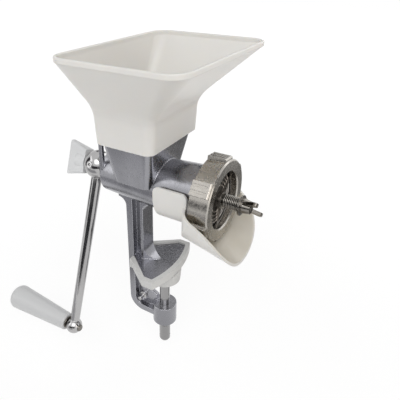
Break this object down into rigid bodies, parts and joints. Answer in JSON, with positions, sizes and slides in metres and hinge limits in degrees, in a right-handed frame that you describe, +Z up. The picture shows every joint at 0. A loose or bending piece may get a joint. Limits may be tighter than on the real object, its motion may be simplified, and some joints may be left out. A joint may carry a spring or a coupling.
{
  "type": "hand grain mill",
  "caption": "Table-clamped hand mill with flared hopper, feed screw, burr chamber, lugged ring, spring fineness adjuster, crank and flour guard.",
  "frame": {"origin": "on the clamp screw's axis, in the underside of the jaw cover that rests on the table top", "axes": "+X along the shaft towards the wing nut, +Z up; the mill is nearly symmetric about Y = 0"},
  "size_m": [0.243, 0.144, 0.3028],
  "materials": {
    "polished_alloy": "polished cast light alloy",
    "ring_alloy": "polished cast light alloy",
    "disc_alloy": "cast light alloy, turned ridges",
    "white_plastic": "smooth moulded plastic",
    "grey_plastic": "matte moulded plastic",
    "steel": "bare steel",
    "chrome": "plated",
    "burr_iron": "hardened, bare",
    "bronze": "bearing bronze"
  },
  "bodies": {
    "mill": {"main_casting": "polished_alloy", "ring_nut": "ring_alloy", "pressure_disc": "disc_alloy", "front_bush": "bronze", "fixed_burr": "burr_iron", "fixed_burr_screws": "steel", "rear_bush": "bronze", "rear_thrust_washer": "steel", "hub_washer": "steel", "flour_guard": "white_plastic", "jaw_cover": "grey_plastic", "cross_pin": "chrome", "adjuster_spring": "steel"},
    "rotor": {"main_shaft": "steel", "auger": "polished_alloy", "auger_pin": "steel", "rotating_burr": "burr_iron", "burr_drive_pins": "steel", "crank_arm": "chrome", "crank_set_screw": "chrome", "crank_knob": "white_plastic", "knob_insert": "steel", "grip_axle": "steel"},
    "handle": {"grip": "white_plastic", "grip_washer": "steel"},
    "adjuster": {"spring_washer": "steel"},
    "wing": {"wing_nut": "steel"},
    "feed_hopper": {"hopper": "white_plastic"},
    "clamp": {"clamp_pad": "grey_plastic", "pad_socket": "steel"},
    "screw": {"clamp_screw": "chrome"}
  },
  "joints": [
    {"name": "crank_turn", "type": "hinge", "parent": "mill", "child": "rotor", "pos_m": [0, 0, 0.092], "axis": [1, 0, 0], "continuous": true},
    {"name": "grip_spin", "type": "hinge", "parent": "rotor", "child": "handle", "pos_m": [-0.073, -0.05811, -0.06595], "axis": [1, 0, 0], "continuous": true},
    {"name": "adjust_slide", "type": "slide", "parent": "rotor", "child": "adjuster", "axis": [-1, 0, 0], "range_m": [0, 0.003], "deforming": ["adjuster_spring"]},
    {"name": "wing_turn", "type": "hinge", "parent": "adjuster", "child": "wing", "pos_m": [0.0712, 0, 0.092], "axis": [-1, 0, 0], "range_deg": [-0.1, 1080.1]},
    {"name": "clamp_slide", "type": "slide", "parent": "mill", "child": "clamp", "axis": [0, 0, -1], "range_m": [0, 0.021]},
    {"name": "screw_turn", "type": "hinge", "parent": "clamp", "child": "screw", "pos_m": [0, 0, -0.0156], "axis": [0, 0, -1], "range_deg": [-0.1, 3780.1]},
    {"name": "hopper_lift", "type": "slide", "parent": "mill", "child": "feed_hopper", "axis": [0, 0, 1], "range_m": [0, 0.04]}
  ],
  "couplings": [
    {"joint": "wing_turn", "follows": "adjust_slide", "rad_per_m": 6283.2},
    {"joint": "screw_turn", "follows": "clamp_slide", "rad_per_m": 3141.6}
  ]
}
